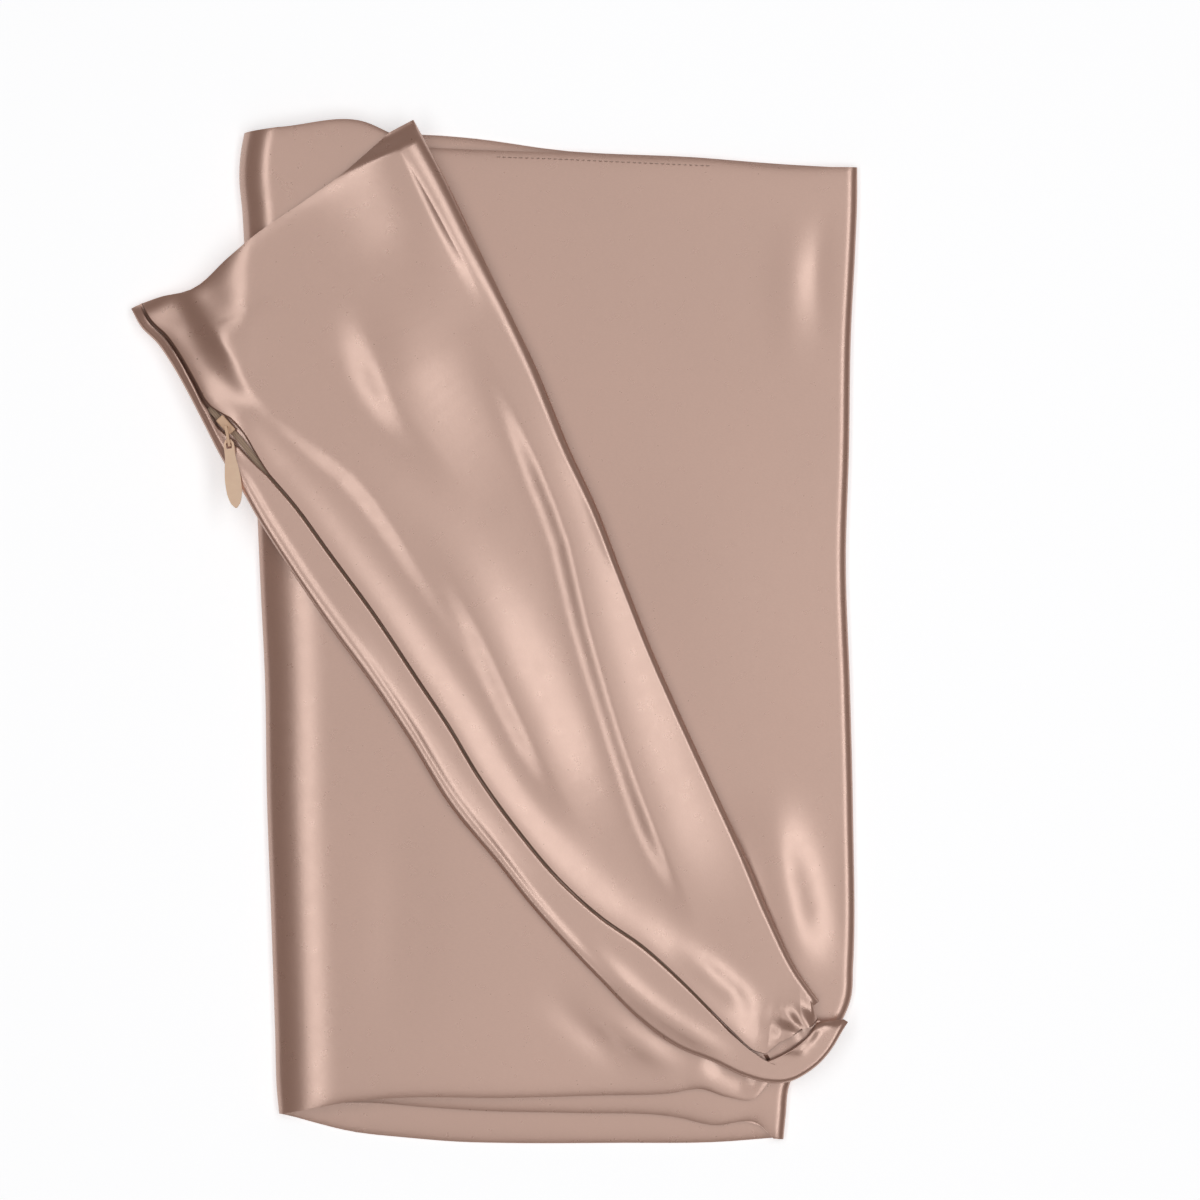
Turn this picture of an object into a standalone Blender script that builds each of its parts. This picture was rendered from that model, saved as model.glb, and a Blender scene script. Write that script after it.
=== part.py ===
"""A satin pillowcase with a concealed zip across its open end, lying folded on a table.

The case is a flat bag of two panels. It is folded in three like a letter: the middle third lies at
the bottom, the closed end turns in over it from the right, and the zip end turns over both from
the left. The zip end is then folded back on itself along a slanting line, so the zip lies on top
and one corner of it is gathered. Metres, +Z up, the middle of the footprint at the origin.
"""
import math

import bmesh
import bpy
import numpy as np

MM = 0.001

# Driving sizes, in millimetres.
CLOTH = 1.0            # thickness of one panel
PLY_PITCH = 1.6        # from the middle of one panel to the middle of the other
BOTTOM_Z = 0.5         # middle of the lowest ply, the back panel in the bottom layer
CLOSED_Z = 4.4         # lower ply of the closed end, the front panel
SECOND_Z = 13.4        # lower ply of the layer under the flap, the front panel
FLAP_Z = 17.6          # lower ply of the flap, the back panel
ZIP_LIFT = 3.2         # how far the lips stand up over the zip
ZIP_LIFT_WIDTH = 24.0  # how far from the zip line the front panel rises to its lip
LIP_GAP = 0.7          # between the two lips of the zip
STRIP_LEAST = 2.6      # least width of the strip inside its rolled edge
HEM_REACH = 2.4        # roundness of the rolled outer edge beside the zip
DROOP = 13.0           # how far the flap's free corner hangs down beside the packet
DROOP_FROM = -117.0    # where that begins, along X
DROOP_LENGTH = 60.0

SETTLE = 5.0           # how much closer the upper layers lie away from the left fold
SETTLE_FROM = -80.0    # where they begin to come down, along X
SETTLE_LENGTH = 180.0

# How far each fold bulges sideways, in millimetres.
FLAP_FOLD_REACH = 9.0
FLAP_FOLD_LEAST = 3.5  # towards its lower end, where the fold is pressed
LEFT_FOLD_REACH = 34.0 # of its upper side; its lower side turns in sooner
LEFT_FOLD_UNDER = 8.0
LEFT_TUCK = 3.4
LEFT_ROUND = 0.36      # height of the roundest place of the left fold, as a share
RIGHT_FOLD_REACH = 5.0
INNER_TUCK = 2.2       # how much less the inner panel bulges than the outer one

# Outlines seen from above, in millimetres. Each row is a point: x, y.
# The folds and free edges run from the top side seam to the bottom one.
FLAP_FOLD = [
    (-39, 249), (-26, 225), (-9, 190), (5, 161), (20, 130), (37, 89), (50, 61), (63, 27),
    (78, -11), (89, -36), (105, -71), (121, -106), (135, -139), (148, -165), (158, -179),
]
ZIP_LINE = [
    (-175, 158.5), (-166, 146), (-156, 134), (-145, 118), (-137, 108), (-126, 98), (-113, 81), (-96, 61),
    (-80, 39), (-58, 9), (-36, -24), (-22, -45), (-7, -70), (11, -95), (33, -121), (52, -138),
    (72, -152), (91, -169), (104, -182), (116, -194), (126, -203), (136, -207.5), (146, -208.5),
    (154, -205), (160, -199),
]
OUTER_EDGE = [
    (-177, 158), (-172, 149), (-164, 141), (-157, 131), (-150, 119), (-141, 102), (-131, 83),
    (-122, 69), (-114, 55), (-98, 30), (-78, 1), (-61, -22), (-42, -50), (-21, -84), (2, -112),
    (17, -131), (32, -148), (52, -169), (71, -188), (91, -202), (106, -208), (121, -215),
    (131, -218), (143, -218), (153, -213), (160, -207), (164, -202), (170, -192), (172, -189),
]
LEFT_FOLD = [
    (-122, 243.5), (-123.5, 236), (-124.5, 223), (-123, 205), (-122, 188), (-118, 110), (-114, 20),
    (-112, -22), (-111, -80), (-109, -137), (-107, -195), (-106, -225), (-105, -234.5),
]
RIGHT_FOLD = [
    (177, 227), (177, 213), (176, 186), (174, 147), (173, 89), (171.5, 35), (173.5, -27),
    (175, -89), (175, -163), (174, -178), (168, -192), (156, -206), (145, -218), (142, -237),
    (141, -247),
]
LEFT_TOP_WAY = (-1.0, -0.13)  # how the left fold points at its two ends
LEFT_END_WAY = (-1.0, -0.2)
CLOSED_END = [
    (-42, 237), (-46, 150), (-56, 20), (-66, -100), (-78, -229),
]
# The side seams between those lines: the points inside each run, in the order of the path that
# the cloth follows from the zip end to the closed end.
FLAP_TOP_SEAM = [(-74, 222), (-91, 210), (-117, 192), (-129, 182), (-147, 167), (-163, 163.5)]
FLAP_END_SEAM = []
SECOND_TOP_SEAM = [(-62, 248)]
SECOND_END_SEAM = [
    (150, -196), (139, -209), (131, -222), (126, -227), (114, -226), (100, -222), (86, -224),
    (51, -225), (7, -226), (-50, -226),
]
BOTTOM_TOP_SEAM = [(-80, 243), (-31, 243), (-12, 241.5), (32, 235.5), (100, 232), (137, 229)]
BOTTOM_END_SEAM = [
    (-88, -239), (-72, -243), (-42, -246.5), (-17, -248.5), (2, -249), (61, -249), (110, -248.5),
]
CLOSED_TOP_SEAM = [(137, 227.5), (100, 231), (71, 232), (32, 234), (-10, 235.5)]
CLOSED_END_SEAM = [
    (128, -239), (107, -240), (88, -236), (38, -234), (-5, -233), (-36, -231), (-60, -229),
]

# Soft folds and hollows of the visible layers, placed by hand. x and y are in millimetres, width
# is half the width of the fold, and height is how far it stands up, or sinks if negative.
FOLDS = [
    # layer, from x, from y, to x, to y, width, height
    ("flap", -148, 164, -114, 120, 8, 2.4),
    ("flap", -56, 236, -20, 168, 26, 2.6),
    ("flap", -68, 164, -40, 106, 20, 2.2),
    ("flap", -40, 100, -4, 62, 18, 1.2),
    ("flap", 6, 142, 38, 45, 13, 2.4),
    ("flap", 38, 45, 62, -44, 14, 2.4),
    ("flap", 62, -44, 98, -136, 14, 2.4),
    ("flap", -36, 58, 0, -8, 14, 1.6),
    ("flap", 0, -8, 46, -94, 15, 1.8),
    ("second", -112, -60, -106, -215, 6, -1.0),
    ("second", -92, 10, -86, -205, 9, 0.9),
    ("second", -40, -150, 60, -215, 14, 0.5),
    ("second", 110, -215, 128, -222, 7, -0.8),
    ("closed", 150, 200, 156, 135, 7, 0.7),
    ("closed", 90, 120, 120, -20, 22, 0.8),
    ("closed", 152, -85, 150, -150, 9, -0.8),
]

# Ruffles of the gathered corner: x, y of the outer end, half the width, height.
GATHER_CENTRE = (150, -193)
RUFFLES = [
    # toward x, toward y, width, height
    (129, -186, 5.0, 1.2),
    (136, -182, 3.5, -0.6),
    (144, -178, 5.0, 0.8),
    (151, -182, 3.5, -0.2),
    (157, -180, 4.0, 0.5),
    (133, -193, 3.5, -0.5),
    (140, -201, 5.0, 0.9),
    (163, -190, 4.0, 0.8),
]

# Stations along the 51 cm width of the case, from the top side seam to the bottom one.
STATIONS = [
    0.0, 0.03, 0.075, 0.12, 0.14, 0.162, 0.185, 0.205, 0.25, 0.30, 0.36, 0.42, 0.48, 0.54, 0.60,
    0.66, 0.72, 0.78, 0.83, 0.87, 0.905, 0.935, 0.96, 0.98, 1.0,
]
FLAP_STEPS = 8
SECOND_STEPS = 7
BOTTOM_STEPS = 5
CLOSED_STEPS = 6
STRIP_STEPS = 2
FOLD_STEPS = 6
HEM_STEPS = 4

# The zip. The slider stands where the lips part; stations are fractions of the width.
ZIP_FROM = 0.12
ZIP_TO = 0.90
PARTED = [
    # station, gap between the lips
    (0.0, 0.0), (0.12, 0.8), (0.14, 6.6), (0.162, 5.4), (0.185, 2.6), (0.205, 0.0), (1.0, 0.0),
]
TAPE_THICK = 0.6
TAPE_WIDTH = 6.0
TAPE_LIFT = 2.75       # middle of the tapes above the middle of the back panel
COIL_LIFT = 1.45
COIL_THICK = 0.6
COIL_WIDTH = 2.8
SLIDER_AT = (-129.8, 100.8)
SLIDER_TURN = -48.0    # degrees, the way the zip runs at the slider
SLIDER_LENGTH = 9.6
SLIDER_WIDTH = 4.4
SLIDER_THICK = 2.0
SLIDER_LIFT = 3.6      # middle of its body above the middle of the back panel
BRIDGE_FROM = (-129.4, 99.6)
BRIDGE_TO = (-127.7, 90.9)
BRIDGE_WIDTH = 1.4
BRIDGE_THICK = 1.2
PULL_LIFT = 7.25       # middle of the pull's neck above the middle of the back panel
PULL_NECK = (-128.3, 93.6)
PULL_TIP = (-124.4, 60.5)
PULL_THICK = 1.2
PULL_DROP = -0.6       # how much lower its tip lies than its neck
PULL_SHAPE = [
    # distance from the neck end, half the width
    (0.0, 1.3), (1.0, 2.2), (3.0, 2.6), (7.0, 2.5), (13.0, 3.3), (19.0, 3.9), (24.0, 3.7),
    (28.0, 2.8), (30.5, 1.5), (31.4, 0.4),
]
PULL_EYE = (3.0, 2.9, 1.35)  # centre along the pull, length, half the width

COLOURS = {
    "satin": (0.50, 0.36, 0.29),
    "tape": (0.52, 0.38, 0.28),
    "coil": (0.55, 0.40, 0.28),
    "slider": (0.60, 0.40, 0.26),
    "pull": (0.62, 0.41, 0.27),
}


def clear_scene():
    """Empties the startup scene."""
    for obj in list(bpy.data.objects):
        bpy.data.objects.remove(obj, do_unlink=True)


def collection(name, cutters=False):
    """A collection of the scene; one that holds cutters is left out of renders."""
    made = bpy.data.collections.new(name)
    made.hide_render = cutters
    bpy.context.scene.collection.children.link(made)
    return made


def material(name, colour, roughness, metallic=0.0):
    """A plain Principled material."""
    made = bpy.data.materials.new(name)
    made.use_nodes = True
    shader = made.node_tree.nodes["Principled BSDF"]
    shader.inputs["Base Color"].default_value = (*colour, 1.0)
    shader.inputs["Roughness"].default_value = roughness
    shader.inputs["Metallic"].default_value = metallic
    return made


def smooth(xs, ys, at):
    """A smooth curve through the points (xs, ys), read at the values in at."""
    xs = np.asarray(xs, float)
    ys = np.asarray(ys, float)
    at = np.clip(np.asarray(at, float), xs[0], xs[-1])
    rise = np.diff(ys) / np.diff(xs)
    slope = np.zeros(len(xs))
    slope[0] = rise[0]
    slope[-1] = rise[-1]
    steady = rise[1:] * rise[:-1] > 0
    both = rise[1:] + rise[:-1]
    both[~steady] = 1.0
    slope[1:-1] = np.where(steady, 2 * rise[1:] * rise[:-1] / both, 0.0)
    cell = np.clip(np.searchsorted(xs, at, side="right") - 1, 0, len(xs) - 2)
    width = xs[cell + 1] - xs[cell]
    t = (at - xs[cell]) / width
    start = (2 * t**3 - 3 * t**2 + 1) * ys[cell] + (t**3 - 2 * t**2 + t) * width * slope[cell]
    end = (3 * t**2 - 2 * t**3) * ys[cell + 1] + (t**3 - t**2) * width * slope[cell + 1]
    return start + end


def along(points, at):
    """Points at the fractions in at of the length of the line through points."""
    points = np.asarray(points, float)
    steps = np.hypot(*np.diff(points, axis=0).T)
    length = np.concatenate([[0.0], np.cumsum(steps)])
    length /= length[-1]
    return np.stack([smooth(length, points[:, k], at) for k in range(2)], axis=-1)


def inset(line, reach, side, first=None, last=None):
    """The line moved in from a fold by its reach; first and last turn it at the side seams."""
    ahead = np.gradient(line, axis=0)
    ahead /= np.hypot(ahead[:, 0], ahead[:, 1])[:, None]
    # The lines run down the page, so the right of the page is on their left hand.
    out = np.stack([-ahead[:, 1], ahead[:, 0]], axis=-1) * side
    place = np.asarray(STATIONS)
    for way, off in ((first, place), (last, 1 - place)):
        if way is not None:
            near = np.exp(-((off / 0.09) ** 2))[:, None]
            out = out * (1 - near) + np.array(way) * near
    out /= np.hypot(out[:, 0], out[:, 1])[:, None]
    return line - out * np.broadcast_to(reach, len(line))[:, None]


def patch(first, last, top, end, shares):
    """The layer between two lines, with its two side seams: an array [share, station, xy]."""
    stations = np.asarray(STATIONS)
    shares = np.asarray(shares, float)
    top_line = along([first[0], *top, last[0]], shares)
    end_line = along([first[-1], *end, last[-1]], shares)
    s = shares[:, None, None]
    v = stations[None, :, None]
    between = (1 - s) * first[None] + s * last[None]
    corners = (1 - v) * between[:, :1] + v * between[:, -1:]
    seams = (1 - v) * top_line[:, None] + v * end_line[:, None]
    return between + seams - corners


def fold_height(layer, xy):
    """The height that the soft folds of a layer add at each point."""
    height = np.zeros(xy.shape[:-1])
    for name, x0, y0, x1, y1, width, rise in FOLDS:
        if name != layer:
            continue
        start = np.array([x0, y0], float)
        run = np.array([x1 - x0, y1 - y0], float)
        length = math.hypot(*run)
        t = ((xy - start) @ run) / length**2
        near = np.clip(t, 0, 1)
        off = xy - (start + near[..., None] * run)
        height += rise * np.exp(-(off**2).sum(-1) / width**2)
    return height


def ruffle_height(xy):
    """The ruffles that run out from the gathered corner."""
    centre = np.array(GATHER_CENTRE, float)
    height = np.zeros(xy.shape[:-1])
    for x, y, width, rise in RUFFLES:
        run = np.array([x, y], float) - centre
        t = np.clip(((xy - centre) @ run) / (run @ run), 0, 1)
        off = xy - (centre + t[..., None] * run)
        height += rise * t * np.exp(-(off**2).sum(-1) / width**2)
    return height


def droop(xy):
    """How far the flap hangs down beside the packet."""
    t = np.clip((DROOP_FROM - xy[..., 0]) / DROOP_LENGTH, 0, 1)
    return DROOP * t * t * (3 - 2 * t)


def at_height(xy, z):
    """Joins the plan of a layer and its height."""
    return np.concatenate([xy, np.broadcast_to(z, xy.shape[:-1])[..., None]], axis=-1)


def bend(fold, lower, upper, low, high, rising, share=0.5):
    """A round fold: out from the lower layer to the fold line, and in to the upper layer.

    share is the height of the fold line between the layers; rising is True where the path climbs.
    """
    turns = np.linspace(-90, 90, FOLD_STEPS + 1)[1:-1]
    middle = low + (high - low) * share
    rows = []
    for turn in turns if rising else -turns:
        angle = math.radians(turn)
        inner = upper if turn > 0 else lower
        half = high - middle if turn > 0 else middle - low
        xy = inner + (fold - inner) * math.cos(angle)
        rows.append(at_height(xy, middle + half * math.sin(angle)))
    return np.array(rows)


class Lines:
    """The folds and free edges at every station."""

    def __init__(self):
        at = np.asarray(STATIONS)
        round_off = np.clip((0.55 - at) / 0.55, 0, 1) ** 1.5
        reach = FLAP_FOLD_LEAST + (FLAP_FOLD_REACH - FLAP_FOLD_LEAST) * round_off
        self.flap_fold = along(FLAP_FOLD, at)
        self.flap_tuck = inset(self.flap_fold, INNER_TUCK, 1)
        self.flap = inset(self.flap_fold, reach, 1)
        self.left_fold = along(LEFT_FOLD, at)
        self.left_tuck = inset(self.left_fold, LEFT_TUCK, -1, LEFT_TOP_WAY, LEFT_END_WAY)
        self.left = inset(self.left_fold, LEFT_FOLD_REACH, -1, LEFT_TOP_WAY, LEFT_END_WAY)
        self.left_under = inset(self.left_fold, LEFT_FOLD_UNDER, -1, (-1.0, 0.0), (-1.0, 0.25))
        self.right_fold = along(RIGHT_FOLD, at)
        self.right_tuck = inset(self.right_fold, INNER_TUCK, 1)
        self.right = inset(self.right_fold, RIGHT_FOLD_REACH, 1)
        self.zip = along(ZIP_LINE, at)
        self.edge_fold = along(OUTER_EDGE, at)
        self.edge = inset(self.edge_fold, HEM_REACH, -1)
        self.closed = along(CLOSED_END, at)
        parted = np.array(PARTED)
        gap = np.interp(at, parted[:, 0], parted[:, 1])
        across = self.flap - self.zip
        across /= np.hypot(across[:, 0], across[:, 1])[:, None]
        self.across = across
        strip = ((self.zip - self.edge) * across).sum(-1) - gap * 0.58
        self.zip += across * np.maximum(STRIP_LEAST - strip, 0.0)[:, None]
        self.front_lip = self.zip + across * (LIP_GAP / 2 + gap * 0.42)[:, None]
        self.back_lip = self.zip - across * (LIP_GAP / 2 + gap * 0.58)[:, None]


def settle(xy):
    """How much closer the upper layers lie, away from the loose left fold."""
    t = np.clip((xy[..., 0] - SETTLE_FROM) / SETTLE_LENGTH, 0, 1)
    return SETTLE * t * t * (3 - 2 * t)


def flap_rise(xy):
    """The folds and ruffles of the flap, and how far it comes down."""
    return fold_height("flap", xy) + ruffle_height(xy) - droop(xy) - settle(xy)


def flap_plan(lines, to):
    """The plan of the flap from its fold to the given line."""
    shares = np.linspace(0, 1, FLAP_STEPS + 1) ** 0.9
    return patch(lines.flap, to, FLAP_TOP_SEAM, FLAP_END_SEAM, shares)


def front_sheet(lines):
    """The middle surface of the front panel, from the zip to the closed end."""
    top = flap_plan(lines, lines.front_lip)[::-1]
    away = np.hypot(*np.moveaxis(top - top[:1], -1, 0))
    lip = ZIP_LIFT * np.exp(-((away / ZIP_LIFT_WIDTH) ** 2))
    rows = [at_height(top, FLAP_Z + PLY_PITCH + lip + flap_rise(top))]
    high = rows[0][-1, :, 2]
    plan = patch(lines.flap, lines.left, SECOND_TOP_SEAM, SECOND_END_SEAM,
                 np.linspace(0, 1, SECOND_STEPS + 1))
    second = at_height(plan, SECOND_Z + fold_height("second", plan) - settle(plan))
    rows.append(bend(lines.flap_fold, lines.flap, lines.flap, second[0, :, 2], high, False))
    rows.append(second)
    plan = patch(lines.left_under, lines.right, BOTTOM_TOP_SEAM, BOTTOM_END_SEAM,
                 np.linspace(0, 1, BOTTOM_STEPS + 1))
    bottom = at_height(plan, BOTTOM_Z + PLY_PITCH)
    rows.append(bend(lines.left_tuck, lines.left_under, lines.left, bottom[0, :, 2],
                     second[-1, :, 2], False, LEFT_ROUND))
    rows.append(bottom)
    plan = patch(lines.right, lines.closed, CLOSED_TOP_SEAM, CLOSED_END_SEAM,
                 np.linspace(0, 1, CLOSED_STEPS + 1))
    closed = at_height(plan, CLOSED_Z + fold_height("closed", plan))
    rows.append(bend(lines.right_tuck, lines.right, lines.right, bottom[-1, :, 2],
                     closed[0, :, 2], True))
    rows.append(closed)
    return np.concatenate(rows)


def back_sheet(lines):
    """The middle surface of the back panel: its rolled edge beside the zip, then beneath."""
    shares = np.linspace(0, 1, STRIP_STEPS + 1)
    strip = patch(lines.back_lip, lines.edge, [], [], shares)
    lift = FLAP_Z + PLY_PITCH + ZIP_LIFT
    upper = at_height(strip, lift + flap_rise(strip))
    lower = at_height(strip, FLAP_Z + flap_rise(strip))
    turns = np.linspace(90, -90, HEM_STEPS + 1)[1:-1]
    middle = (upper[-1, :, 2] + lower[-1, :, 2]) / 2
    half = (upper[-1, :, 2] - lower[-1, :, 2]) / 2
    hem = []
    for turn in turns:
        angle = math.radians(turn)
        xy = lines.edge + (lines.edge_fold - lines.edge) * math.cos(angle)
        hem.append(at_height(xy, middle + half * math.sin(angle)))
    rows = [upper, np.array(hem), lower[::-1]]
    top = flap_plan(lines, lines.front_lip)[::-1]
    flap = at_height(top, FLAP_Z + flap_rise(top))
    rows.append(flap)
    high = flap[-1, :, 2]
    plan = patch(lines.flap, lines.left, SECOND_TOP_SEAM, SECOND_END_SEAM,
                 np.linspace(0, 1, SECOND_STEPS + 1))
    rise = fold_height("second", plan) - settle(plan)
    second = at_height(plan, SECOND_Z + PLY_PITCH + rise)
    rows.append(bend(lines.flap_tuck, lines.flap, lines.flap, second[0, :, 2], high, False))
    rows.append(second)
    plan = patch(lines.left_under, lines.right, BOTTOM_TOP_SEAM, BOTTOM_END_SEAM,
                 np.linspace(0, 1, BOTTOM_STEPS + 1))
    bottom = at_height(plan, BOTTOM_Z)
    rows.append(bend(lines.left_fold, lines.left_under, lines.left, bottom[0, :, 2],
                     second[-1, :, 2], False, LEFT_ROUND))
    rows.append(bottom)
    plan = patch(lines.right, lines.closed, CLOSED_TOP_SEAM, CLOSED_END_SEAM,
                 np.linspace(0, 1, CLOSED_STEPS + 1))
    closed = at_height(plan, CLOSED_Z + PLY_PITCH + fold_height("closed", plan))
    rows.append(bend(lines.right_fold, lines.right, lines.right, bottom[-1, :, 2],
                     closed[0, :, 2], True))
    rows.append(closed)
    return np.concatenate(rows)


def new_object(name, mesh, mat, into):
    """An object for a mesh, with its material, in its collection."""
    mesh.materials.append(mat)
    obj = bpy.data.objects.new(name, mesh)
    into.objects.link(obj)
    return obj


def cloth_object(name, points, thick, mat, into):
    """A grid laid through rows of points, in millimetres, thickened evenly on both sides."""
    rows, columns = points.shape[:2]
    bm = bmesh.new()
    bmesh.ops.create_grid(bm, x_segments=columns - 1, y_segments=rows - 1, size=0.5)
    for vertex in bm.verts:
        column = round((vertex.co.x + 0.5) * (columns - 1))
        row = round((vertex.co.y + 0.5) * (rows - 1))
        vertex.co = points[row, column] * MM
    mesh = bpy.data.meshes.new(name)
    bm.to_mesh(mesh)
    bm.free()
    mesh.shade_smooth()
    obj = new_object(name, mesh, mat, into)
    solid = obj.modifiers.new("Thickness", "SOLIDIFY")
    solid.thickness = thick * MM
    solid.offset = 0.0
    return obj


def zip_band(start, toward, nearest, farthest, lift):
    """A band beside the zip: two lines at the given distances from start, raised by lift."""
    at = np.asarray(STATIONS)
    keep = (at >= ZIP_FROM) & (at <= ZIP_TO)
    run = toward - start
    length = np.hypot(run[:, 0], run[:, 1])
    rows = []
    for distance in (nearest, farthest):
        share = np.minimum(distance / length, 0.92)
        rows.append(start + run * share[:, None] + np.array([0.0, 0.0, lift]))
    return np.array(rows)[:, keep]


def zip_bands(lines):
    """The two tapes and the coil, each a pair of lines along the zip."""
    plan = flap_plan(lines, lines.front_lip)[::-1][:2]
    lip, inner = at_height(plan, FLAP_Z + flap_rise(plan))
    back = at_height(lines.back_lip, FLAP_Z + flap_rise(lines.back_lip))
    edge = at_height(lines.edge, FLAP_Z + flap_rise(lines.edge))
    middle = (lip[:, :2] + back[:, :2]) / 2
    half = lines.across * COIL_WIDTH / 2
    coil = np.array([middle + half, middle - half])
    coil = at_height(coil, ((lip + back) / 2)[:, 2] + COIL_LIFT)
    keep = (np.asarray(STATIONS) >= ZIP_FROM) & (np.asarray(STATIONS) <= ZIP_TO)
    return {
        "zip_tape_front": zip_band(lip, inner, 0.0, TAPE_WIDTH, TAPE_LIFT),
        "zip_tape_back": zip_band(back, edge, 0.0, TAPE_WIDTH, TAPE_LIFT),
        "zip_coil": coil[:, keep],
    }


def box(name, size, centre, mat, into, turn=0.0, bevel=0.0):
    """A block with rounded edges, in millimetres, turned about the vertical in degrees."""
    bm = bmesh.new()
    bmesh.ops.create_cube(bm, size=1.0)
    bmesh.ops.scale(bm, vec=[side * MM for side in size], verts=bm.verts)
    mesh = bpy.data.meshes.new(name)
    bm.to_mesh(mesh)
    bm.free()
    obj = new_object(name, mesh, mat, into)
    obj.location = [c * MM for c in centre]
    obj.rotation_euler = (0.0, 0.0, math.radians(turn))
    if bevel:
        rounding = obj.modifiers.new("Rounding", "BEVEL")
        rounding.width = bevel * MM
        rounding.segments = 2
    return obj


def boolean(obj, other, operation):
    """Adds a Boolean of obj with other."""
    made = obj.modifiers.new(operation.title(), "BOOLEAN")
    made.operation = operation
    made.solver = "EXACT"
    made.object = other


def flat_outline(name, outline, thick, mat, into):
    """A flat piece: a filled outline, extruded, and welded into one closed mesh."""
    curve = bpy.data.curves.new(name, "CURVE")
    curve.dimensions = "2D"
    curve.fill_mode = "BOTH"
    curve.extrude = thick * MM / 2
    line = curve.splines.new("POLY")
    line.points.add(len(outline) - 1)
    for point, (x, y) in zip(line.points, outline):
        point.co = (x * MM, y * MM, 0.0, 1.0)
    line.use_cyclic_u = True
    guide = bpy.data.objects.new(name + "_outline", curve)
    into.objects.link(guide)
    bpy.context.view_layer.update()
    graph = bpy.context.evaluated_depsgraph_get()
    mesh = bpy.data.meshes.new_from_object(guide.evaluated_get(graph))
    bpy.data.objects.remove(guide, do_unlink=True)
    bm = bmesh.new()
    bm.from_mesh(mesh)
    bmesh.ops.remove_doubles(bm, verts=bm.verts, dist=1e-6)
    bmesh.ops.recalc_face_normals(bm, faces=bm.faces)
    bm.to_mesh(mesh)
    bm.free()
    mesh.name = name
    return new_object(name, mesh, mat, into)


def pull_object(z_neck, z_tip, mat, into, cutters):
    """The teardrop pull, from its neck down to its tip, with an eye for the bridge."""
    neck = np.array(PULL_NECK, float)
    run = np.array(PULL_TIP, float) - neck
    length = math.hypot(*run)
    shape = np.array(PULL_SHAPE, float)
    shape[:, 0] *= length / shape[-1, 0]
    stops = np.linspace(0, length, 19)
    widths = smooth(shape[:, 0], shape[:, 1], stops)
    outline = [(d, w) for d, w in zip(stops, widths)]
    outline += [(d, -w) for d, w in zip(stops[::-1], widths[::-1])]
    obj = flat_outline("zip_pull", outline, PULL_THICK, mat, into)
    obj.location = [neck[0] * MM, neck[1] * MM, z_neck * MM]
    lean = math.atan2(z_neck - z_tip, length)
    obj.rotation_euler = (0.0, lean, math.atan2(run[1], run[0]))
    middle = neck + run / length * PULL_EYE[0]
    height = z_neck + (z_tip - z_neck) * PULL_EYE[0] / length
    turn = math.degrees(math.atan2(run[1], run[0]))
    eye = box("zip_pull_eye", (PULL_EYE[1], 2 * PULL_EYE[2], 8.0), (*middle, height), mat,
              cutters, turn, 0.4)
    eye.display_type = "WIRE"
    boolean(obj, eye, "DIFFERENCE")
    return obj


def slider_object(base, mat, into, cutters):
    """The slider's body, with the bridge over its front end that holds the pull."""
    z = base + SLIDER_LIFT
    body = box("zip_slider", (SLIDER_LENGTH, SLIDER_WIDTH, SLIDER_THICK), (*SLIDER_AT, z), mat,
               into, SLIDER_TURN, 0.6)
    start = np.array(BRIDGE_FROM, float)
    end = np.array(BRIDGE_TO, float)
    run = end - start
    length = math.hypot(*run)
    turn = math.degrees(math.atan2(run[1], run[0]))
    under = base + PULL_LIFT + PULL_THICK / 2 + 0.5
    top = under + BRIDGE_THICK
    arm = ((start + end) / 2, length + BRIDGE_WIDTH, under, top)
    post = (start, BRIDGE_WIDTH, z, top - 0.2)
    hook = (end, BRIDGE_WIDTH, base + PULL_LIFT - 0.3, top - 0.2)
    for name, (middle, reach, low, high) in {"arm": arm, "post": post, "hook": hook}.items():
        piece = box(f"bridge_{name}", (reach, BRIDGE_WIDTH, high - low),
                    (*middle, (low + high) / 2), mat, cutters, turn, 0.25)
        piece.display_type = "WIRE"
        boolean(body, piece, "UNION")
    return body


def build():
    """Makes every piece of the pillowcase."""
    clear_scene()
    parts = collection("pillowcase")
    cutters = collection("cutters", cutters=True)
    satin_front = material("satin_front", COLOURS["satin"], 0.38)
    satin_back = material("satin_back", COLOURS["satin"], 0.38)
    tape_front = material("zip_tape_front", COLOURS["tape"], 0.8)
    tape_back = material("zip_tape_back", COLOURS["tape"], 0.8)
    coil = material("zip_coil", COLOURS["coil"], 0.5)
    slider = material("zip_slider", COLOURS["slider"], 0.4)
    pull = material("zip_pull", COLOURS["pull"], 0.35)
    lines = Lines()
    cloth_object("front_panel", front_sheet(lines), CLOTH, satin_front, parts)
    cloth_object("back_panel", back_sheet(lines), CLOTH, satin_back, parts)
    bands = zip_bands(lines)
    cloth_object("zip_tape_front", bands["zip_tape_front"], TAPE_THICK, tape_front, parts)
    cloth_object("zip_tape_back", bands["zip_tape_back"], TAPE_THICK, tape_back, parts)
    cloth_object("zip_coil", bands["zip_coil"], COIL_THICK, coil, parts)
    base = FLAP_Z + float(flap_rise(np.array(SLIDER_AT, float)))
    slider_object(base, slider, parts, cutters)
    pull_object(base + PULL_LIFT, base + PULL_LIFT - PULL_DROP, pull, parts, cutters)


build()
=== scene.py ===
"""Looks of the folded satin pillowcase: fine cloth, zip, materials, floor, light and camera.

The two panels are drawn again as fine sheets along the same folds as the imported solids, with the
soft wrinkles, seams and ruffles that those leave out. All plans are in millimetres until a mesh
is made.
"""
import math

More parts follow.
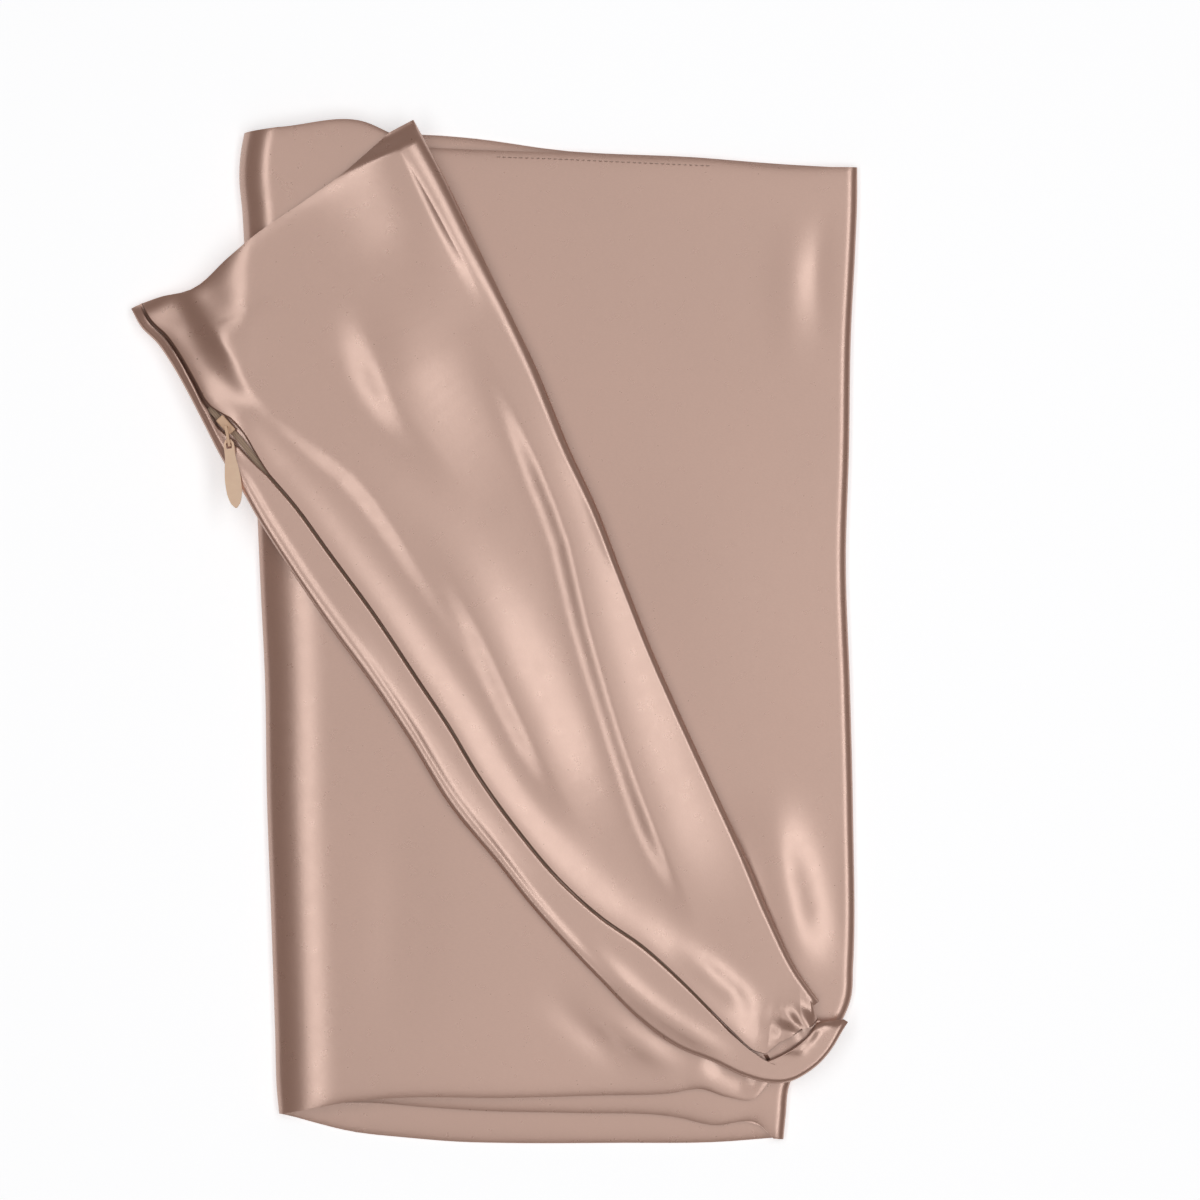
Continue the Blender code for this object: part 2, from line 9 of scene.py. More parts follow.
import bpy
import numpy as np
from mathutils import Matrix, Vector


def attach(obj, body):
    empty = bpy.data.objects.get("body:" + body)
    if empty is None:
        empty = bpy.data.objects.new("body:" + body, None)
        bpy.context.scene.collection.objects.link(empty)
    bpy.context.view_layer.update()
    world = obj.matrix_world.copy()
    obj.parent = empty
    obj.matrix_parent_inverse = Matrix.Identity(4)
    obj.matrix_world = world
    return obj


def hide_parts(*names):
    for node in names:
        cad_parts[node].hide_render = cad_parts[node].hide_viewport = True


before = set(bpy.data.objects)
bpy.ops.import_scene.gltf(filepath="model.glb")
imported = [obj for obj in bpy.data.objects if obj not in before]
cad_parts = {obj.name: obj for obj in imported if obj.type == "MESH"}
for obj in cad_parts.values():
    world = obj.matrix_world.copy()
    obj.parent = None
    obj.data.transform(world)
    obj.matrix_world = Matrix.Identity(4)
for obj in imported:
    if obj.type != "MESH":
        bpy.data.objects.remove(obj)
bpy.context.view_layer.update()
MM = 0.001

# ---------------------------------------------------------------- sizes, in millimetres
WIDTH = 510.0          # of the case, from side seam to side seam
HALF_PLY = 0.8         # half the distance between the two panels of a layer
BOTTOM_Z = 1.0         # middles of the layers
CLOSED_Z = 5.2
SECOND_Z = 14.2
FLAP_Z = 18.4
ZIP_LIFT = 2.8         # how far the zip's tapes and coil hold up the lips beside it
ZIP_LIFT_WIDTH = 13.0
LIP_GAP = 0.7          # between the two lips where the zip is closed
LIP_ROUND = 0.9        # radius of a lip's rolled edge
FRONT_GAP_SHARE = 0.42  # of an open place between the lips, on each side of the zip line
BACK_GAP_SHARE = 0.58
STRIP_LEAST = 2.6      # least width of the strip between the zip and the rolled edge
HEM_REACH = 2.4        # how far in from the rolled edge its roll starts
EDGE_ROLL = 1.1        # the ridge just inside the rolled edge beside the zip
EDGE_ROLL_IN = 1.6
EDGE_ROLL_WIDTH = 3.4
DROOP = 13.0           # how far the free corner hangs beside the packet
DROOP_FROM = -117.0
DROOP_LENGTH = 60.0
SETTLE = 5.0           # how much closer the upper layers lie, away from the left fold
SETTLE_FROM = -80.0
SETTLE_LENGTH = 180.0
FLAP_FOLD_REACH = 13.0  # how far in from a fold its layer is level again
FLAP_FOLD_LEAST = 3.5   # towards its lower end, where the fold is pressed
LEFT_FOLD_REACH = 34.0  # of its upper side; its lower side turns in sooner
LEFT_FOLD_LEAST = 17.0  # near its upper end, where the fold is tighter
LEFT_FOLD_UNDER = 8.0
RIGHT_FOLD_REACH = 5.0
INNER_TUCK = 2.2        # how far the inner panel of a fold keeps from the outer one
LEFT_ROUND = 0.2        # height of the roundest place of the left fold, as a share
SEAM_PINCH = 4.0        # how far from a side seam the two panels part
STITCHES = 38           # of the row along the upper side seam
STITCH_LENGTH = 1.9
STITCH_HALF_WIDTH = 0.28
STITCH_HALF_HEIGHT = 0.22
STITCH_SINK = 0.15      # of its two ends, into the cloth
STITCH_LIFT = 0.1

# ---------------------------------------------------------------- outlines, as x, y
FLAP_FOLD = [
    (-39, 249), (-26, 225), (-9, 190), (5, 161), (20, 130), (37, 89), (50, 61), (63, 27),
    (78, -11), (89, -36), (105, -71), (121, -106), (135, -139), (148, -165), (158, -179),
]
ZIP_LINE = [
    (-175, 158.5), (-166, 146), (-156, 134), (-145, 118), (-137, 108), (-126, 98), (-113, 81),
    (-96, 61), (-80, 39), (-58, 9), (-36, -24), (-22, -45), (-7, -70), (11, -95), (33, -121),
    (52, -138), (72, -152), (91, -169), (104, -182), (116, -194), (126, -203), (136, -207.5),
    (146, -208.5), (154, -205), (160, -199),
]
OUTER_EDGE = [
    (-177, 158), (-172, 149), (-164, 141), (-157, 131), (-150, 119), (-141, 102), (-131, 83),
    (-122, 69), (-114, 55), (-98, 30), (-78, 1), (-61, -22), (-42, -50), (-21, -84), (2, -112),
    (17, -131), (32, -148), (52, -169), (71, -188), (91, -202), (106, -208), (121, -215),
    (131, -218), (143, -218), (153, -213), (160, -207), (164, -202), (170, -192), (172, -189),
]
LEFT_FOLD = [
    (-122, 243.5), (-123.5, 236), (-124.5, 223), (-123, 205), (-122, 188), (-118, 110),
    (-114, 20), (-112, -22), (-111, -80), (-109, -137), (-107, -195), (-106, -225),
    (-105, -234.5),
]
RIGHT_FOLD = [
    (177, 227), (177, 213), (176, 186), (174, 147), (173, 89), (171.5, 35), (173.5, -27),
    (175, -89), (175, -163), (174, -178), (168, -192), (156, -206), (145, -218), (142, -237),
    (141, -247),
]
LEFT_TOP_WAY = (-1.0, -0.13)   # how the left fold points at its two ends
LEFT_END_WAY = (-1.0, -0.2)
CLOSED_END = [(-42, 237), (-46, 150), (-56, 20), (-66, -100), (-78, -229)]
FLAP_TOP_SEAM = [(-74, 222), (-91, 210), (-117, 192), (-129, 182), (-147, 167), (-163, 163.5)]
FLAP_END_SEAM = []
SECOND_TOP_SEAM = [(-62, 248)]
SECOND_END_SEAM = [
    (150, -196), (139, -209), (131, -222), (126, -227), (114, -226), (100, -222), (86, -224),
    (51, -225), (7, -226), (-50, -226),
]
BOTTOM_TOP_SEAM = [(-80, 243), (-31, 243), (-12, 241.5), (32, 235.5), (100, 232), (137, 229)]
BOTTOM_END_SEAM = [
    (-88, -239), (-72, -243), (-42, -246.5), (-17, -248.5), (2, -249), (61, -249), (110, -248.5),
]
CLOSED_TOP_SEAM = [(137, 227.5), (100, 231), (71, 232), (32, 234), (-10, 235.5)]
CLOSED_END_SEAM = [
    (128, -239), (107, -240), (88, -236), (38, -234), (-5, -233), (-36, -231), (-60, -229),
]
SEAM_STITCHES = [(2, 231.9), (32, 230.8), (71, 229.0), (104, 227.6)]
PARTED = [
    # station, gap between the lips
    (0.0, 0.0), (0.12, 0.8), (0.14, 6.6), (0.162, 5.4), (0.185, 2.6), (0.205, 0.0), (0.925, 0.0),
    (0.95, 6.0), (0.975, 5.0), (0.99, 0.5), (1.0, 0.0),
]

# ---------------------------------------------------------------- wrinkles
# Each row: the layer, the ridge's line, its half width on the left and on the right of the line,
# its height, and the shares of its length in which it rises at its start and fades at its end.
FOLDS = [
    # the flap, from its free corner to the gathered one
    ("flap", [(-150, 169), (-141, 153), (-130, 139), (-116, 123)], 8, 4, 1.3, (0.08, 0.5)),
    ("flap", [(-144, 162), (-130, 136), (-117, 120), (-100, 103), (-83, 91), (-67, 79),
              (-53, 62), (-37, 37), (-23, 13), (-7, -17), (9, -45)], 26, 8, 2.2, (0.1, 0.5)),
    ("flap", [(-50, 242), (-37, 212), (-21, 180), (-7, 150)], 9, 30, 4.6, (0.1, 0.6)),
    ("flap", [(-70, 172), (-58, 140), (-44, 112), (-24, 86), (0, 60)], 26, 13, 4.0, (0.45, 0.6)),
    ("flap", [(-10, 158), (2, 128), (16, 99), (28, 72), (38, 45), (46, 10), (56, -25),
              (67, -60), (80, -95), (93, -125), (104, -150)], 24, 8, 3.4, (0.3, 0.2)),
    ("flap", [(-40, 66), (-24, 40), (-8, 10), (6, -20), (20, -50), (36, -80), (54, -104)], 20,
     10, 3.4, (0.5, 0.35)),
    ("flap", [(40, 92), (50, 60), (62, 26)], 3, 3, 0.9, (0.4, 0.4)),
    ("flap", [(84, -150), (106, -166), (128, -186)], 6, 6, 1.4, (0.5, 0.3)),
    # the ruffles of the gathered corner
    ("flap", [(157, -198), (142, -194), (127, -187)], 4, 3.5, 1.0, (0.2, 0.6)),
    ("flap", [(158, -197), (149, -187), (142, -176)], 3.5, 3.5, 1.0, (0.2, 0.6)),
    ("flap", [(161, -194), (158, -184), (152, -170)], 3, 3, 0.8, (0.2, 0.6)),
    ("flap", [(153, -202), (141, -201), (129, -197)], 3, 3, 0.7, (0.2, 0.6)),
    ("flap", [(153, -196), (144, -188), (133, -180)], 2.8, 2.8, -0.8, (0.3, 0.6)),
    ("flap", [(159, -192), (154, -184), (147, -175)], 2.6, 2.6, -0.6, (0.3, 0.6)),
    # the strip beyond the zip
    ("flap", [(-92, 34), (-54, -22), (-14, -84), (30, -136)], 6, 6, 0.9, (0.3, 0.3)),
    ("flap", [(40, -148), (80, -184), (120, -208)], 5, 5, 1.2, (0.3, 0.3)),
    # the layer under the flap
    ("second", [(-50, -60), (-46, -130), (-52, -210)], 14, 14, -0.9, (0.5, 0.4)),
    ("second", [(18, -172), (46, -192), (72, -216)], 8, 8, -1.2, (0.6, 0.4)),
    ("second", [(34, -178), (64, -196), (96, -214)], 6, 7, 1.3, (0.5, 0.4)),
    ("second", [(100, -206), (118, -216), (130, -222)], 5, 6, -1.6, (0.4, 0.3)),
    # the closed end
    ("closed", [(162, 214), (158, 178), (160, 132)], 6, 6, -0.6, (0.5, 0.6)),
    ("closed", [(148, 212), (144, 170), (146, 120)], 8, 9, 0.8, (0.6, 0.7)),
    ("closed", [(84, 100), (104, 20), (122, -60)], 40, 30, 1.0, (0.7, 0.7)),
    ("closed", [(136, -66), (137, -104), (145, -140), (156, -176)], 13, 18, 3.2, (0.5, 0.4)),
    ("closed", [(165, -80), (165, -110), (166, -140), (166, -166)], 10, 18, -0.7, (0.6, 0.4)),
]


# ---------------------------------------------------------------- curves and patches
def smooth(xs, ys, at):
    """A smooth curve through the points (xs, ys), read at the values in at."""
    xs = np.asarray(xs, float)
    ys = np.asarray(ys, float)
    at = np.clip(np.asarray(at, float), xs[0], xs[-1])
    width = np.diff(xs)
    rise = np.diff(ys) / width
    slope = np.empty(len(xs))
    slope[0] = rise[0]
    slope[-1] = rise[-1]
    slope[1:-1] = (rise[1:] * width[:-1] + rise[:-1] * width[1:]) / (width[1:] + width[:-1])
    cell = np.clip(np.searchsorted(xs, at, side="right") - 1, 0, len(xs) - 2)
    width = width[cell]
    t = (at - xs[cell]) / width
    start = (2 * t**3 - 3 * t**2 + 1) * ys[cell] + (t**3 - 2 * t**2 + t) * width * slope[cell]
    end = (3 * t**2 - 2 * t**3) * ys[cell + 1] + (t**3 - t**2) * width * slope[cell + 1]
    return start + end


def along(points, at):
    """Points at the fractions in at of the length of the line through points."""
    points = np.asarray(points, float)
    steps = np.hypot(*np.diff(points, axis=0).T)
    length = np.concatenate([[0.0], np.cumsum(steps)])
    length /= length[-1]
    return np.stack([smooth(length, points[:, k], at) for k in range(2)], axis=-1)


def relax(line, rounds):
    """The line with its small kinks smoothed out, and its ends kept."""
    line = line.copy()
    for _ in range(rounds):
        line[1:-1] = line[1:-1] / 2 + (line[2:] + line[:-2]) / 4
    return line


def inset(line, reach, side, first=None, last=None):
    """The line moved in from a fold by its reach; first and last turn it at the side seams."""
    ahead = np.gradient(line, axis=0)
    ahead /= np.hypot(ahead[:, 0], ahead[:, 1])[:, None]
    out = relax(np.stack([-ahead[:, 1], ahead[:, 0]], axis=-1) * side, 6)
    place = np.linspace(0, 1, len(line))
    for way, off in ((first, place), (last, 1 - place)):
        if way is not None:
            near = np.exp(-((off / 0.09) ** 2))[:, None]
            out = out * (1 - near) + np.array(way) * near
    out /= np.hypot(out[:, 0], out[:, 1])[:, None]
    return line - out * np.broadcast_to(reach, len(line))[:, None]


def patch(first, last, top, end, shares, stations):
    """The layer between two lines, with its two side seams: an array [share, station, xy]."""
    shares = np.asarray(shares, float)
    top_line = along([first[0], *top, last[0]], shares)
    end_line = along([first[-1], *end, last[-1]], shares)
    s = shares[:, None, None]
    v = stations[None, :, None]
    between = (1 - s) * first[None] + s * last[None]
    corners = (1 - v) * between[:, :1] + v * between[:, -1:]
    seams = (1 - v) * top_line[:, None] + v * end_line[:, None]
    return between + seams - corners


def warped(count, peaks):
    """Values from 0 to 1, closer together near each peak (place, width, how much closer)."""
    fine = np.linspace(0, 1, 4001)
    density = np.ones_like(fine)
    for place, width, more in peaks:
        density += more * np.exp(-(((fine - place) / width) ** 2))
    total = np.concatenate([[0.0], np.cumsum((density[1:] + density[:-1]) / 2)])
    return np.interp(np.linspace(0, 1, count), total / total[-1], fine)


# ---------------------------------------------------------------- heights
def ridge(xy, points, left, right, height, fade):
    """A soft ridge along a line: its height at each point of xy."""
    line = along(points, np.linspace(0, 1, 17)) if len(points) > 2 else np.array(points, float)
    reach = 3.2 * max(left, right)
    low = line.min(0) - reach
    high = line.max(0) + reach
    near = ((xy > low) & (xy < high)).all(-1)
    found = np.zeros(xy.shape[:-1])
    if not near.any():
        return found
    at = xy[near]
    best = np.full(len(at), 1e9)
    side = np.zeros(len(at))
    place = np.zeros(len(at))
    steps = np.hypot(*np.diff(line, axis=0).T)
    gone = np.concatenate([[0.0], np.cumsum(steps)])
    for k in range(len(line) - 1):
        run = line[k + 1] - line[k]
        t = np.clip(((at - line[k]) @ run) / (run @ run), 0, 1)
        off = at - (line[k] + t[:, None] * run)
        far = (off**2).sum(-1)
        closer = far < best
        best = np.where(closer, far, best)
        side = np.where(closer, run[0] * off[:, 1] - run[1] * off[:, 0], side)
        place = np.where(closer, (gone[k] + t * steps[k]) / gone[-1], place)
    width = np.where(side > 0, left, right)
    start = np.clip(place / max(fade[0], 1e-6), 0, 1) if fade[0] else np.ones_like(place)
    stop = np.clip((1 - place) / max(fade[1], 1e-6), 0, 1) if fade[1] else np.ones_like(place)
    start = start * start * (3 - 2 * start)
    stop = stop * stop * (3 - 2 * stop)
    found[near] = height * start * stop * np.exp(-best / width**2)
    return found


def fold_height(layer, xy):
    """The height that the soft folds of a layer add."""
    height = np.zeros(xy.shape[:-1])
    for name, points, left, right, rise, fade in FOLDS:
        if name == layer:
            height += ridge(xy, points, left, right, rise, fade)
    return height


def droop(xy):
    """How far the flap hangs down beside the packet."""
    t = np.clip((DROOP_FROM - xy[..., 0]) / DROOP_LENGTH, 0, 1)
    return DROOP * t * t * (3 - 2 * t)


def settle(xy):
    """How much closer the upper layers lie, away from the loose left fold."""
    t = np.clip((xy[..., 0] - SETTLE_FROM) / SETTLE_LENGTH, 0, 1)
    return SETTLE * t * t * (3 - 2 * t)


def flap_rise(xy):
    """The folds of the flap, and how far it comes down."""
    return fold_height("flap", xy) - droop(xy) - settle(xy)


def at_height(xy, z):
    """Joins the plan of a layer and its height."""
    return np.concatenate([xy, np.broadcast_to(z, xy.shape[:-1])[..., None]], axis=-1)


def parting(stations):
    """Half the distance between the panels: they close up on each other at the side seams."""
    near = np.minimum(stations, 1 - stations) * WIDTH
    return HALF_PLY * (1 - np.exp(-near / SEAM_PINCH))


def bend(fold, lower, upper, low, high, rising, steps, share=0.5):
    """A round fold: out from the lower layer to the fold line, and in to the upper layer.

    share is the height of the fold line between the layers; rising is True where the path climbs.
    """
    turns = np.linspace(-90, 90, steps + 1)[1:-1]
    middle = low + (high - low) * share
    rows = []
    for turn in turns if rising else -turns:
        angle = math.radians(turn)
        inner = upper if turn > 0 else lower
        half = high - middle if turn > 0 else middle - low
        xy = inner + (fold - inner) * math.cos(angle)
        rows.append(at_height(xy, middle + half * math.sin(angle)))
    return np.array(rows)


class Lines:
    """The folds and free edges at every station."""

    def __init__(self, stations):
        at = stations
        self.at = at
        tuck = INNER_TUCK * parting(at) / HALF_PLY
        round_off = np.clip((0.55 - at) / 0.55, 0, 1) ** 1.5
        reach = FLAP_FOLD_LEAST + (FLAP_FOLD_REACH - FLAP_FOLD_LEAST) * round_off
        self.flap_fold = along(FLAP_FOLD, at)
        self.flap_tuck = inset(self.flap_fold, tuck, 1)
        self.flap = inset(self.flap_fold, reach, 1)
        self.left_fold = along(LEFT_FOLD, at)
        self.left_tuck = inset(self.left_fold, tuck, -1, LEFT_TOP_WAY, LEFT_END_WAY)
        ease = np.clip((at - 0.10) / 0.35, 0, 1)
        reach = LEFT_FOLD_LEAST + (LEFT_FOLD_REACH - LEFT_FOLD_LEAST) * ease * ease * (3 - 2 * ease)
        self.left = inset(self.left_fold, reach, -1, LEFT_TOP_WAY, LEFT_END_WAY)
        self.left_under = inset(self.left_fold, LEFT_FOLD_UNDER, -1, (-1.0, 0.0), (-1.0, 0.25))
        self.right_fold = along(RIGHT_FOLD, at)
        self.right_tuck = inset(self.right_fold, tuck, 1)
        self.right = inset(self.right_fold, RIGHT_FOLD_REACH, 1)
        self.zip = along(ZIP_LINE, at)
        self.edge_fold = along(OUTER_EDGE, at)
        self.edge = inset(self.edge_fold, HEM_REACH, -1)
        self.closed = along(CLOSED_END, at)
        parted = np.array(PARTED)
        gap = np.interp(at, parted[:, 0], parted[:, 1])
        across = self.flap - self.zip
        across /= np.hypot(across[:, 0], across[:, 1])[:, None]
        self.across = across
        strip = ((self.zip - self.edge) * across).sum(-1) - gap * BACK_GAP_SHARE
        self.zip += across * np.maximum(STRIP_LEAST - strip, 0.0)[:, None]
        self.front_lip = self.zip + across * (LIP_GAP / 2 + gap * FRONT_GAP_SHARE)[:, None]
        self.back_lip = self.zip - across * (LIP_GAP / 2 + gap * BACK_GAP_SHARE)[:, None]


def lip(line, inward, height, steps=5):
    """The rolled lip of a panel beside the zip: rows from its hidden edge to its top."""
    rows = []
    for turn in np.linspace(-80, 70, steps):
        angle = math.radians(turn)
        xy = line + inward * LIP_ROUND * (1 - math.cos(angle))
        rows.append(at_height(xy, height - LIP_ROUND + LIP_ROUND * math.sin(angle)))
    return rows


def layer_rows(lines, first, last, top, end, shares, name, base, sign):
    """One ply of a layer: sign is 1 for its upper panel and -1 for its lower one."""
    plan = patch(first, last, top, end, shares, lines.at)
    rise = fold_height(name, plan) if name else 0.0
    if name == "second":
        rise = rise - settle(plan)
    return at_height(plan, base + sign * parting(lines.at)[None] + rise)


def front_sheet():
    """The front panel, from the zip to the closed end."""
    stations = warped(400, [(0, 0.012, 3), (1, 0.02, 3), (0.94, 0.06, 1.0), (0.13, 0.05, 0.8)])
    lines = Lines(stations)
    half = parting(stations)
    shares = warped(112, [(1, 0.06, 2.0), (0, 0.08, 1.5)])
    top = patch(lines.flap, lines.front_lip, FLAP_TOP_SEAM, FLAP_END_SEAM, shares, stations)[::-1]
    away = np.hypot(*np.moveaxis(top - top[:1], -1, 0))
    lift = ZIP_LIFT * np.exp(-((away / ZIP_LIFT_WIDTH) ** 2))
    flap = at_height(top, FLAP_Z + half[None] + lift * (half / HALF_PLY)[None] + flap_rise(top))
    rolled = lip(lines.front_lip, lines.across, flap[0, :, 2])
    rows = [np.array(rolled), flap[1:]]
    second = layer_rows(lines, lines.flap, lines.left, SECOND_TOP_SEAM, SECOND_END_SEAM,
                        np.linspace(0, 1, 40), "second", SECOND_Z, -1)
    rows.append(bend(lines.flap_fold, lines.flap, lines.flap, second[0, :, 2], flap[-1, :, 2],
                     False, 16))
    rows.append(second)
    bottom = layer_rows(lines, lines.left_under, lines.right, BOTTOM_TOP_SEAM, BOTTOM_END_SEAM,
                        np.linspace(0, 1, 24), None, BOTTOM_Z, 1)
    rows.append(bend(lines.left_tuck, lines.left_under, lines.left, bottom[0, :, 2],
                     second[-1, :, 2], False, 12, LEFT_ROUND))
    rows.append(bottom)
    closed = layer_rows(lines, lines.right, lines.closed, CLOSED_TOP_SEAM, CLOSED_END_SEAM,
                        np.linspace(0, 1, 26), "closed", CLOSED_Z, -1)
    rows.append(bend(lines.right_tuck, lines.right, lines.right, bottom[-1, :, 2],
                     closed[0, :, 2], True, 8))
    rows.append(closed)
    return np.concatenate(rows)


def back_sheet():
    """The back panel: its rolled strip beside the zip, then beneath the front panel."""
    stations = warped(290, [(0, 0.012, 3), (1, 0.02, 3), (0.94, 0.06, 1.0), (0.13, 0.05, 0.8)])
    lines = Lines(stations)
    half = parting(stations)
    strip = patch(lines.back_lip, lines.edge, [], [], np.linspace(0, 1, 16), stations)
    rise = flap_rise(strip)
    full = (half / HALF_PLY)[None]
    inward = np.hypot(*np.moveaxis(strip - strip[-1:], -1, 0))
    fading = np.clip((0.78 - stations) / 0.2, 0, 1)[None]
    roll = EDGE_ROLL * fading * full * np.exp(-(((inward - EDGE_ROLL_IN) / EDGE_ROLL_WIDTH) ** 2))
    upper = at_height(strip, FLAP_Z + half[None] + ZIP_LIFT * full + rise + roll)
    lower = at_height(strip, FLAP_Z - half[None] + rise)
    rolled = lip(lines.back_lip, -lines.across, upper[0, :, 2])
    hem = bend(lines.edge_fold, lines.edge, lines.edge, lower[-1, :, 2], upper[-1, :, 2],
               False, 10)
    rows = [np.array(rolled), upper[1:], hem, lower[::-1][:-1:3]]
    top = patch(lines.flap, lines.front_lip, FLAP_TOP_SEAM, FLAP_END_SEAM,
                np.linspace(0, 1, 30), stations)[::-1]
    flap = at_height(top, FLAP_Z - half[None] + flap_rise(top))
    rows.append(flap)
    second = layer_rows(lines, lines.flap, lines.left, SECOND_TOP_SEAM, SECOND_END_SEAM,
                        warped(112, [(1, 0.08, 1.0)]), "second", SECOND_Z, 1)
    rows.append(bend(lines.flap_tuck, lines.flap, lines.flap, second[0, :, 2], flap[-1, :, 2],
                     False, 8))
    rows.append(second)
    bottom = layer_rows(lines, lines.left_under, lines.right, BOTTOM_TOP_SEAM, BOTTOM_END_SEAM,
                        np.linspace(0, 1, 20), None, BOTTOM_Z, -1)
    rows.append(bend(lines.left_fold, lines.left_under, lines.left, bottom[0, :, 2],
                     second[-1, :, 2], False, 28, LEFT_ROUND))
    rows.append(bottom)
    closed = layer_rows(lines, lines.right, lines.closed, CLOSED_TOP_SEAM, CLOSED_END_SEAM,
                        warped(104, [(0, 0.08, 1.0)]), "closed", CLOSED_Z, 1)
    rows.append(bend(lines.right_fold, lines.right, lines.right, bottom[-1, :, 2],
                     closed[0, :, 2], True, 12))
    rows.append(closed)
    return np.concatenate(rows)


def add_mesh(name, points, faces, mat):
    """A smooth mesh object from points in millimetres."""
    mesh = bpy.data.meshes.new(name)
    mesh.from_pydata((np.asarray(points).reshape(-1, 3) * MM).tolist(), [], faces)
    mesh.shade_smooth()
    mesh.materials.append(mat)
    obj = bpy.data.objects.new(name, mesh)
    bpy.context.scene.collection.objects.link(obj)
    return obj


def sheet_object(name, points, mat):
    """A smooth open mesh through rows of points, with its length and width as a UV map."""
    rows, columns = points.shape[:2]
    corner = np.arange(rows * columns).reshape(rows, columns)
    faces = np.stack([corner[:-1, :-1], corner[:-1, 1:], corner[1:, 1:], corner[1:, :-1]], -1)
    obj = add_mesh(name, points, faces.reshape(-1, 4).tolist(), mat)
    middle = columns // 2
    path = np.hypot(*np.diff(points[:, middle, :2], axis=0).T)
    path = np.concatenate([[0.0], np.cumsum(path)])
    u = np.repeat(path[:, None] * MM, columns, 1)
    v = np.repeat(np.linspace(0, WIDTH * MM, columns)[None], rows, 0)
    coordinates = np.stack([u, v], -1).reshape(-1, 2)
    layer = obj.data.uv_layers.new(name="Cloth")
    order = faces.reshape(-1)
    layer.uv.foreach_set("vector", coordinates[order].astype(np.float32).ravel())
    return obj


def stitch_row(name, line, height, mat):
    """A row of short stitches, each a slim pointed lens lying along the line."""
    middles = along(line, np.linspace(0, 1, STITCHES))
    ahead = np.gradient(middles, axis=0)
    ahead /= np.hypot(ahead[:, 0], ahead[:, 1])[:, None]
    points = []
    faces = []
    for k, (middle, way) in enumerate(zip(middles, ahead)):
        across = np.array([-way[1], way[0]])
        reach = STITCH_LENGTH / 2 * (1 + 0.12 * math.sin(7.0 * k))
        first = len(points)
        for angle in range(0, 360, 60):
            turn = math.radians(angle)
            plan = middle + across * STITCH_HALF_WIDTH * math.cos(turn)
            points.append((*plan, height + STITCH_HALF_HEIGHT * math.sin(turn)))
        points.append((*(middle - way * reach), height - STITCH_SINK))
        points.append((*(middle + way * reach), height - STITCH_SINK))
        for side in range(6):
            after = (side + 1) % 6
            faces.append((first + side, first + after, first + 7))
            faces.append((first + after, first + side, first + 6))
    return add_mesh(name, points, faces, mat)


# ---------------------------------------------------------------- materials
def nodes_of(name):
    """A new material, its node tree, its shader and a way to add nodes."""
    made = bpy.data.materials.new(name)
    made.use_nodes = True
    tree = made.node_tree
    shader = tree.nodes["Principled BSDF"]

    def add(kind, inputs=(), **settings):
        node = tree.nodes.new(kind)
        for key, value in settings.items():
            setattr(node, key, value)
        for key, value in dict(inputs).items():
            if isinstance(value, bpy.types.NodeSocket):
                tree.links.new(value, node.inputs[key])
            else:
                node.inputs[key].default_value = value
        return node

    return made, tree, shader, add


def satin(name, base):
    """Satin: long floats that shine across the cloth, a fine grain, and soft tone changes."""
    made, tree, shader, add = nodes_of(name)
    place = add("ShaderNodeTexCoord").outputs["Object"]
    cloth = add("ShaderNodeUVMap", uv_map="Cloth").outputs["UV"]
    drawn = add("ShaderNodeVectorMath", {0: cloth, 1: (620.0, 1500.0, 1.0)}, operation="MULTIPLY")
    grain = add("ShaderNodeTexNoise", {"Vector": drawn.outputs["Vector"], "Scale": 1.0,
                                       "Detail": 2.0, "Roughness": 0.6})
    fleck = add("ShaderNodeTexNoise", {"Vector": place, "Scale": 160.0, "Detail": 3.0})
    broad = add("ShaderNodeTexNoise", {"Vector": place, "Scale": 9.0, "Detail": 2.0})
    tone = add("ShaderNodeMix", {"Factor": grain.outputs["Fac"]}, data_type="RGBA")
    tone.inputs["A"].default_value = (*[c * 0.93 for c in base], 1)
    tone.inputs["B"].default_value = (*[min(c * 1.07, 1) for c in base], 1)
    wide = add("ShaderNodeMapRange", {"Value": broad.outputs["Fac"], "To Min": 0.94,
                                      "To Max": 1.06})
    colour = add("ShaderNodeVectorMath", {0: tone.outputs["Result"], 1: wide.outputs["Result"]},
                 operation="MULTIPLY")
    tree.links.new(colour.outputs["Vector"], shader.inputs["Base Color"])
    rough = add("ShaderNodeMapRange", {"Value": fleck.outputs["Fac"], "To Min": 0.25,
                                       "To Max": 0.32})
    tree.links.new(rough.outputs["Result"], shader.inputs["Roughness"])
    bump = add("ShaderNodeBump", {"Height": grain.outputs["Fac"], "Strength": 0.10,
                                  "Distance": 0.0002})
    micro = add("ShaderNodeTexNoise", {"Vector": place, "Scale": 60.0, "Detail": 3.0})
    soft = add("ShaderNodeBump", {"Height": micro.outputs["Fac"], "Strength": 0.05,
                                  "Distance": 0.001, "Normal": bump.outputs["Normal"]})
    tree.links.new(soft.outputs["Normal"], shader.inputs["Normal"])
    shader.inputs["Metallic"].default_value = 0.3
    shader.inputs["IOR"].default_value = 3.0
    shader.inputs["Specular Tint"].default_value = (0.97, 0.92, 0.86, 1)
    shader.inputs["Sheen Weight"].default_value = 0.1
    shader.inputs["Sheen Roughness"].default_value = 0.4
    return made


